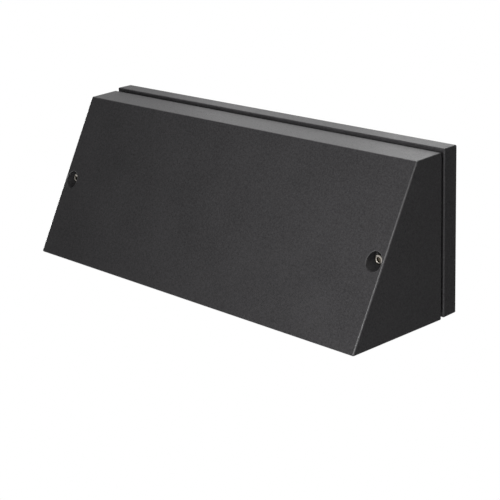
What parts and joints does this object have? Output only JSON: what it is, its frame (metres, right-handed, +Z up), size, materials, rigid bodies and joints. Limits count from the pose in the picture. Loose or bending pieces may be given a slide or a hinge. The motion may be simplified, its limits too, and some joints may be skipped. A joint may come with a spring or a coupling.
{
  "type": "outdoor wall light",
  "caption": "Wedge-shaped cast wall light with a slanted front and recessed cover screws, throwing light down through opal glass in its underside.",
  "frame": {"origin": "centre of the wall fixings, on the wall plane", "axes": "+X to the viewer's right, -Y out from the wall, +Z up"},
  "size_m": [0.26, 0.0807, 0.0925],
  "materials": {
    "anthracite_coat": "fine-texture powder coat on die-cast aluminium",
    "stainless_steel": "bright stainless steel",
    "zinc_steel": "zinc-plated steel",
    "spring_steel": "satin stainless spring steel",
    "bare_aluminium": "mill-finish sheet",
    "black_silicone": "matt moulded silicone",
    "grey_silicone": "soft thermal pad",
    "opal_glass": "opal, satin",
    "white_mask": "white solder mask on aluminium",
    "green_mask": "green solder mask",
    "phosphor": "yellow phosphor in a white package",
    "white_coat": "matt white coat",
    "white_plastic": "moulded, fine grain",
    "clear_nylon": "natural nylon",
    "ferrite": "ferrite core with taped winding",
    "capacitor_sleeve": "shrink sleeve",
    "brass": "turned brass",
    "tinned_copper": "tinned",
    "brown_insulation": "insulation",
    "blue_insulation": "insulation",
    "green_yellow_insulation": "striped insulation",
    "red_insulation": "insulation",
    "black_insulation": "insulation"
  },
  "bodies": {
    "base": {"base_plate": "anthracite_coat", "cover_gasket": "black_silicone", "cable_grommet": "black_silicone", "gear_tray": "bare_aluminium", "gear_tray_screws": "zinc_steel", "thermal_pad": "grey_silicone", "led_board": "white_mask", "led_chips": "phosphor", "led_connector": "white_plastic", "led_board_screws": "zinc_steel", "reflector": "white_coat", "reflector_screws": "zinc_steel", "driver_case": "white_plastic", "driver_lid": "white_plastic", "driver_board": "green_mask", "driver_transformer": "ferrite", "driver_capacitors": "capacitor_sleeve", "driver_screws": "zinc_steel", "terminal_block": "clear_nylon", "terminal_clamps": "brass", "terminal_screws": "zinc_steel", "terminal_block_screws": "zinc_steel", "earth_lug": "tinned_copper", "earth_washer": "zinc_steel", "earth_screw": "zinc_steel", "live_wire": "brown_insulation", "neutral_wire": "blue_insulation", "earth_wire": "green_yellow_insulation", "led_positive_wire": "red_insulation", "led_negative_wire": "black_insulation"},
    "cover": {"cover": "anthracite_coat", "diffuser_gasket": "black_silicone", "diffuser": "opal_glass", "diffuser_clips": "spring_steel", "diffuser_clip_screws": "zinc_steel"},
    "left_seal": {"left_screw_seal": "black_silicone"},
    "left_screw": {"left_cover_screw": "stainless_steel"},
    "right_seal": {"right_screw_seal": "black_silicone"},
    "right_screw": {"right_cover_screw": "stainless_steel"}
  },
  "joints": [
    {"name": "cover_lift_off", "type": "slide", "parent": "base", "child": "cover", "axis": [0, -1, 0], "range_m": [0, 0.1]},
    {"name": "left_screw_back_out", "type": "slide", "parent": "cover", "child": "left_seal", "axis": [0, -1, 0], "range_m": [0, 0.0075]},
    {"name": "left_screw_turn", "type": "hinge", "parent": "left_seal", "child": "left_screw", "pos_m": [-0.12289, -0.05, -0.0029], "axis": [0, -1, 0], "range_deg": [0, 5402]},
    {"name": "right_screw_back_out", "type": "slide", "parent": "cover", "child": "right_seal", "axis": [0, -1, 0], "range_m": [0, 0.0075]},
    {"name": "right_screw_turn", "type": "hinge", "parent": "right_seal", "child": "right_screw", "pos_m": [0.12289, -0.05, -0.0029], "axis": [0, -1, 0], "range_deg": [0, 5402]}
  ],
  "couplings": [
    {"joint": "left_screw_turn", "follows": "left_screw_back_out", "rad_per_m": 12566},
    {"joint": "right_screw_turn", "follows": "right_screw_back_out", "rad_per_m": 12566}
  ]
}
